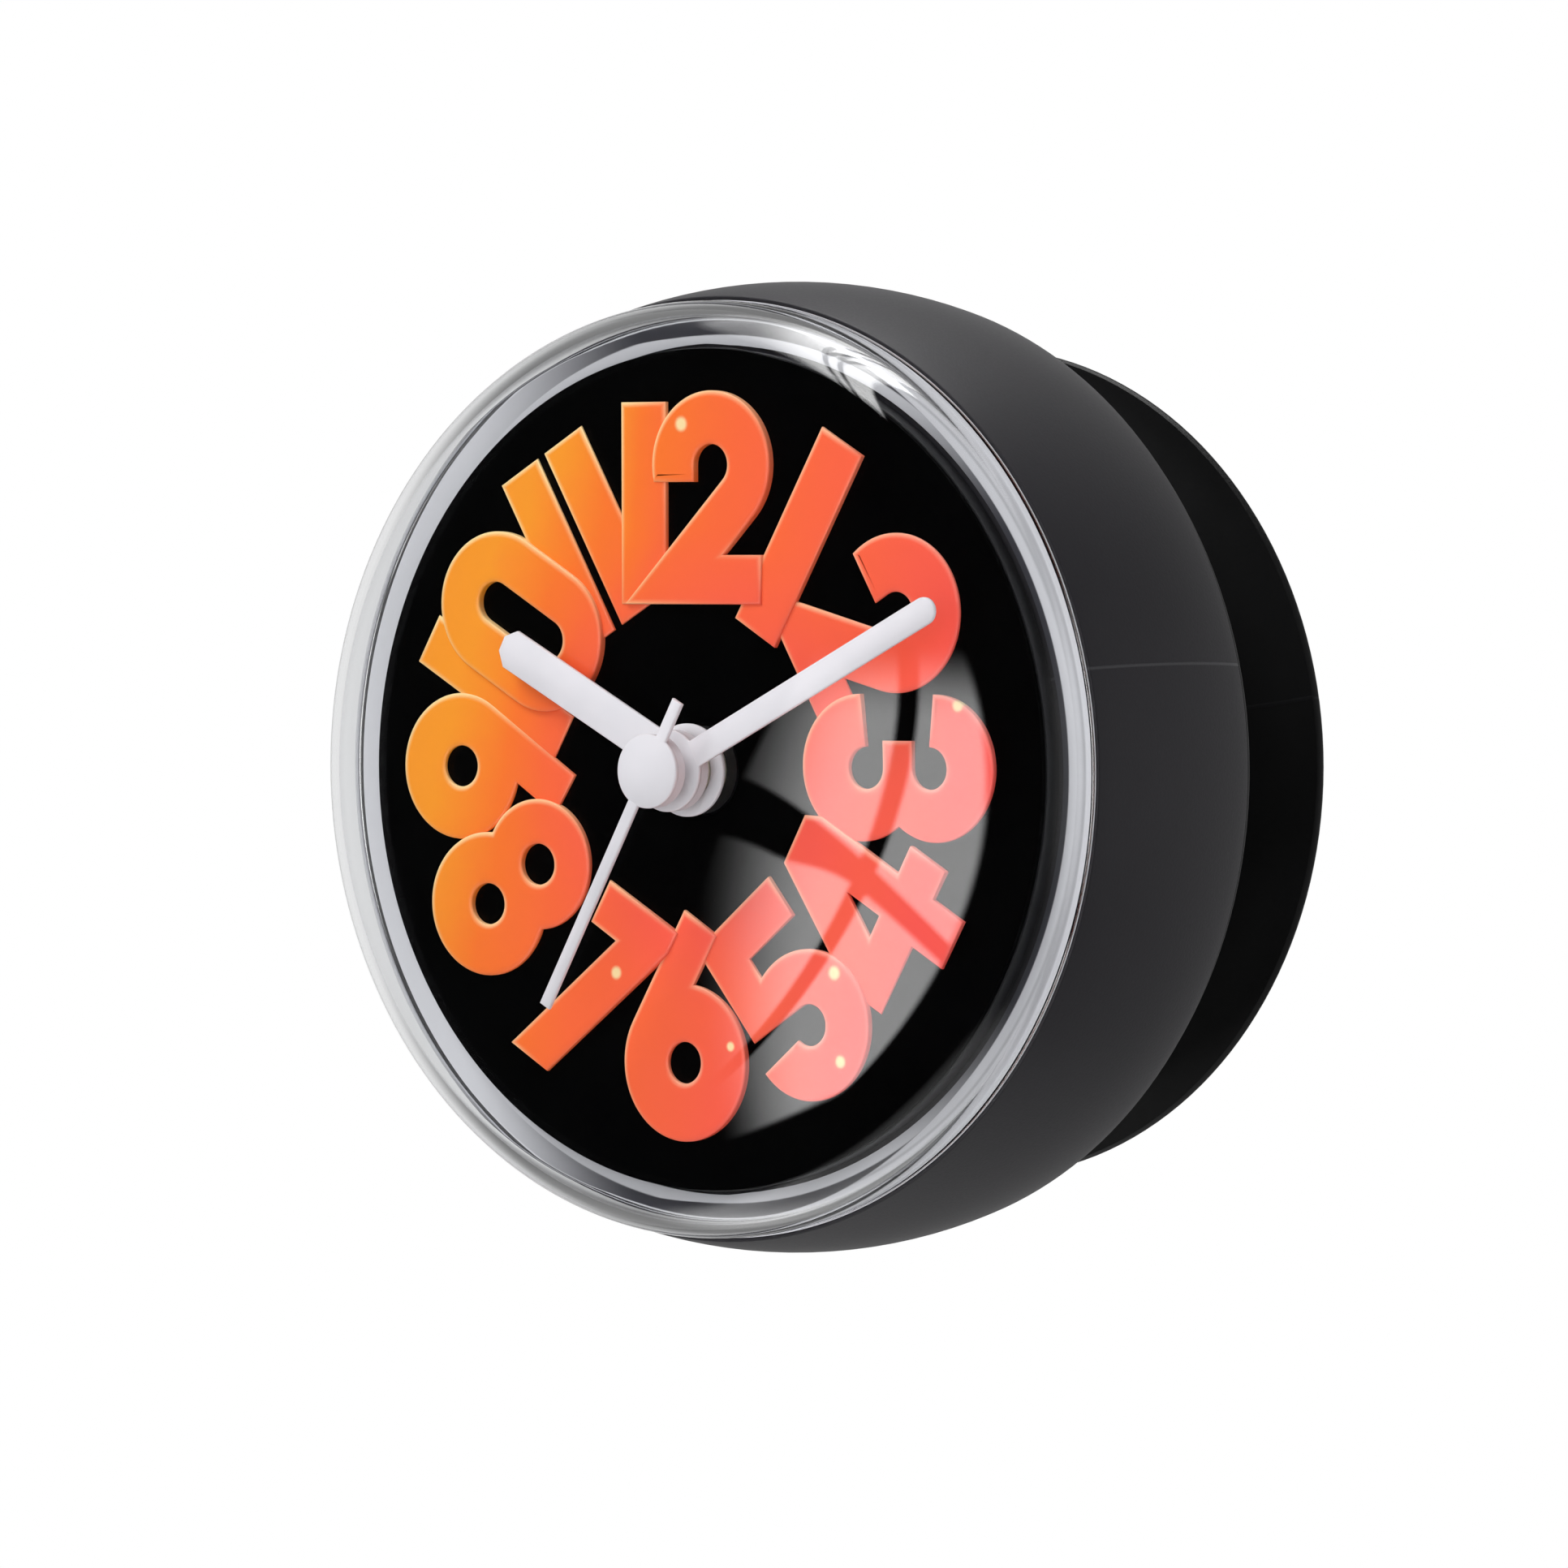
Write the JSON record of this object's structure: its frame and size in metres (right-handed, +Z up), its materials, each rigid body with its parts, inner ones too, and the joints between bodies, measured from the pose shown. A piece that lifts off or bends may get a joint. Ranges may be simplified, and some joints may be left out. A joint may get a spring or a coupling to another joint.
{
  "type": "suction-cup bathroom clock",
  "caption": "Small round bathroom clock in a charcoal barrel case with a clear domed lens, bold numerals and plain hands, held on a wall by a suction cup.",
  "frame": {"origin": "centre of the suction cup at the plane of the wall it is pressed on", "axes": "the clock axis is Y: +Y points into the wall, the dial faces -Y, +Z is up to twelve and +X to three"},
  "size_m": [0.072, 0.0462, 0.072],
  "materials": {
    "black_rubber": "satin black",
    "soft_charcoal": "soft-touch matt",
    "black_plastic": "moulded matt",
    "clear_plastic": "polished clear",
    "pale_plastic": "moulded satin",
    "dial_black": "printed black",
    "numeral_orange": "glossy, bevelled",
    "numeral_coral": "glossy, bevelled",
    "hand_white": "satin off-white",
    "wheel_plastic": "moulded natural",
    "steel": "plain",
    "brass": "turned",
    "copper_wire": "enamelled wire",
    "board_green": "solder mask"
  },
  "bodies": {
    "cup": {"suction_cup": "black_rubber"},
    "cover": {"rear_cover": "black_plastic", "cover_seal": "black_rubber"},
    "case": {"case_shell": "soft_charcoal", "lens": "clear_plastic", "lens_gasket": "pale_plastic", "dial_carrier": "black_plastic", "dial": "dial_black", "movement_front": "black_plastic", "movement_back": "black_plastic", "movement_screw_1": "steel", "movement_screw_2": "steel", "movement_screw_3": "steel", "stator": "steel", "coil_core": "steel", "coil_bobbin": "wheel_plastic", "coil_winding": "copper_wire", "circuit_board": "board_green", "quartz_crystal": "steel", "chip": "black_plastic", "button_cell": "steel", "negative_contact": "brass", "positive_contact": "brass", "numeral_12_two": "numeral_coral", "numeral_12_one": "numeral_coral", "numeral_1": "numeral_coral", "numeral_7": "numeral_orange", "numeral_6": "numeral_coral", "numeral_5": "numeral_coral", "numeral_4": "numeral_coral", "numeral_3": "numeral_coral", "numeral_2": "numeral_coral", "numeral_8": "numeral_orange", "numeral_10_zero": "numeral_orange", "numeral_9": "numeral_orange", "numeral_10_one": "numeral_orange", "numeral_11_first": "numeral_orange", "numeral_11_second": "numeral_orange"},
    "seconds": {"second_hand": "hand_white", "second_wheel": "wheel_plastic"},
    "third": {"third_wheel": "wheel_plastic"},
    "centre": {"centre_wheel": "brass"},
    "step": {"step_wheel": "wheel_plastic"},
    "rotor": {"rotor": "steel"},
    "minutes": {"minute_hand": "hand_white", "minute_arbor": "brass"},
    "motion": {"minute_wheel": "wheel_plastic"},
    "hours": {"hour_hand": "hand_white", "hour_wheel": "wheel_plastic"},
    "setting": {"setting_shaft": "wheel_plastic", "setting_knob": "black_plastic"}
  },
  "joints": [
    {"name": "case_swivel", "type": "hinge", "parent": "cup", "child": "cover", "pos_m": [0, -0.0275, 0], "axis": [0, 1, 0], "continuous": true},
    {"name": "case_pull_off", "type": "slide", "parent": "cover", "child": "case", "axis": [0, -1, 0], "range_m": [0, 0.03]},
    {"name": "seconds_turn", "type": "hinge", "parent": "case", "child": "seconds", "pos_m": [0, -0.0275, 0], "axis": [0, 1, 0], "continuous": true},
    {"name": "third_turn", "type": "hinge", "parent": "case", "child": "third", "pos_m": [0, -0.0275, 0.0061], "axis": [0, 1, 0], "continuous": true},
    {"name": "centre_turn", "type": "hinge", "parent": "case", "child": "centre", "pos_m": [0, -0.0275, 0], "axis": [0, 1, 0], "continuous": true},
    {"name": "step_turn", "type": "hinge", "parent": "case", "child": "step", "pos_m": [-0.00651, -0.0275, 0], "axis": [0, 1, 0], "continuous": true},
    {"name": "rotor_turn", "type": "hinge", "parent": "case", "child": "rotor", "pos_m": [-0.01047, -0.0275, -0.00396], "axis": [0, 1, 0], "continuous": true},
    {"name": "minutes_turn", "type": "hinge", "parent": "case", "child": "minutes", "pos_m": [0, -0.0275, 0], "axis": [0, 1, 0], "continuous": true},
    {"name": "motion_turn", "type": "hinge", "parent": "case", "child": "motion", "pos_m": [0.0046, -0.0275, -0.00386], "axis": [0, 1, 0], "continuous": true},
    {"name": "hours_turn", "type": "hinge", "parent": "case", "child": "hours", "pos_m": [0, -0.0275, 0], "axis": [0, 1, 0], "continuous": true},
    {"name": "setting_turn", "type": "hinge", "parent": "case", "child": "setting", "pos_m": [0.00919, -0.0275, -0.00771], "axis": [0, 1, 0], "continuous": true}
  ],
  "couplings": [
    {"joint": "third_turn", "follows": "seconds_turn", "ratio": -0.13333},
    {"joint": "centre_turn", "follows": "seconds_turn", "ratio": 0.016667},
    {"joint": "step_turn", "follows": "seconds_turn", "ratio": -5},
    {"joint": "rotor_turn", "follows": "seconds_turn", "ratio": 30},
    {"joint": "motion_turn", "follows": "minutes_turn", "ratio": -0.33333},
    {"joint": "hours_turn", "follows": "minutes_turn", "ratio": 0.083333},
    {"joint": "setting_turn", "follows": "minutes_turn", "ratio": 1}
  ]
}
